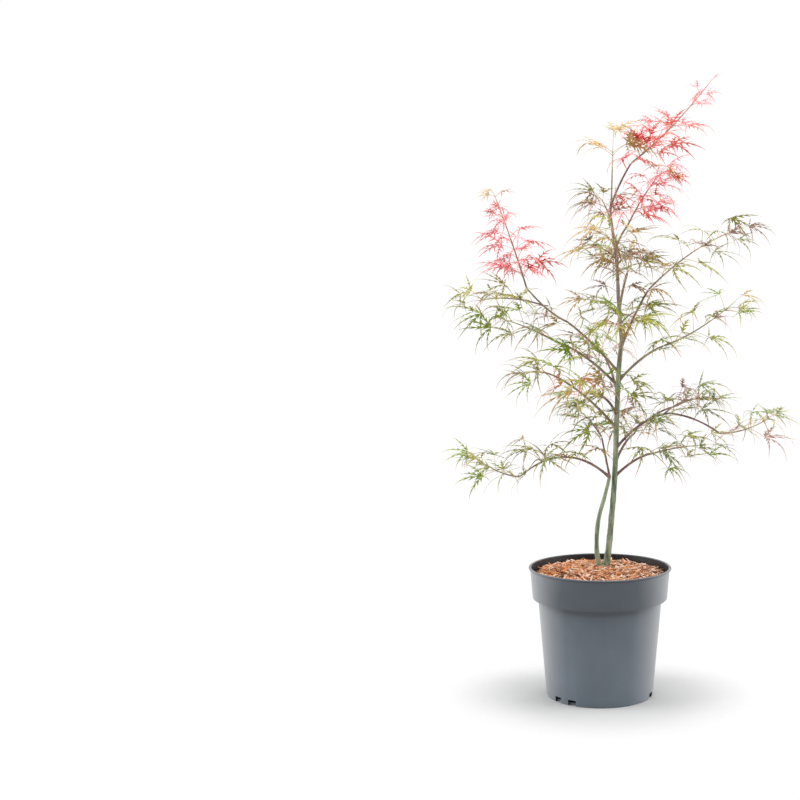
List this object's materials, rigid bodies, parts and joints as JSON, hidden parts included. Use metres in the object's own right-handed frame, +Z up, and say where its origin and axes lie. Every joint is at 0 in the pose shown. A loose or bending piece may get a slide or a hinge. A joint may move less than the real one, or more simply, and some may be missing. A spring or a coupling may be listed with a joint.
{
  "type": "potted japanese maple",
  "caption": "Young japanese maple in a round dark nursery pot: slim green stems, arching boughs and open layers of finely cut green and coral leaves.",
  "frame": {"origin": "centre of the pot's flat underside", "axes": "+Z up along the pot's axis, -Y towards the viewer's front, +X to the right"},
  "size_m": [0.4494, 0.325, 0.8184],
  "materials": {
    "pot": "satin slate-grey moulded plastic",
    "mulch": "orange-brown shredded bark",
    "stem": "smooth waxy blue-green bark",
    "bough": "thin brown-mauve bark",
    "foliage": "matt olive-green leaves with pinkish tips",
    "coral_foliage": "soft coral-red new leaves",
    "rust_foliage": "rust-orange leaves"
  },
  "bodies": {
    "root": {"pot": "pot", "mulch": "mulch", "main_stem": "stem", "second_stem": "stem", "leader": "stem", "bough_low_left": "bough", "bough_low_left_outer": "bough", "bough_low_right": "bough", "bough_inner_left": "bough", "bough_mid_left": "bough", "bough_left_lower": "bough", "bough_left_upper": "bough", "bough_left_upper_outer": "bough", "bough_right_middle": "bough", "bough_right_upper": "bough", "bough_right_lower": "bough", "bough_right_lower_outer": "bough", "bough_right_inner": "bough", "bough_top": "bough", "bough_top_right": "bough", "bough_back_low": "bough", "bough_back_middle": "bough", "bough_back_upper": "bough", "bough_front_low": "bough", "bough_front_middle": "bough", "bough_front_upper": "bough", "foliage_low_left": "foliage", "foliage_low_left_crest": "foliage", "foliage_low_left_hanging": "foliage", "foliage_low_right": "foliage", "foliage_low_right_hanging": "foliage", "foliage_inner_left": "foliage", "foliage_mid_left": "foliage", "foliage_mid_left_rust": "rust_foliage", "foliage_left_lower": "foliage", "foliage_left_lower_hanging": "foliage", "foliage_left_upper": "foliage", "foliage_left_upper_inner": "foliage", "foliage_coral_left": "coral_foliage", "foliage_right_middle": "foliage", "foliage_right_upper": "foliage", "foliage_right_lower": "foliage", "foliage_right_lower_crest": "foliage", "foliage_right_inner": "foliage", "foliage_coral_top": "coral_foliage", "foliage_coral_top_right": "coral_foliage", "foliage_tip": "rust_foliage", "foliage_leader_left_upper": "foliage", "foliage_leader_left": "foliage", "foliage_leader_left_lower": "foliage", "foliage_leader_right": "foliage", "foliage_leader_right_lower": "foliage", "foliage_back_low": "foliage", "foliage_back_middle": "foliage", "foliage_back_upper": "foliage", "foliage_front_low": "foliage", "foliage_front_middle": "foliage", "foliage_front_upper": "foliage"}
  },
  "joints": []
}
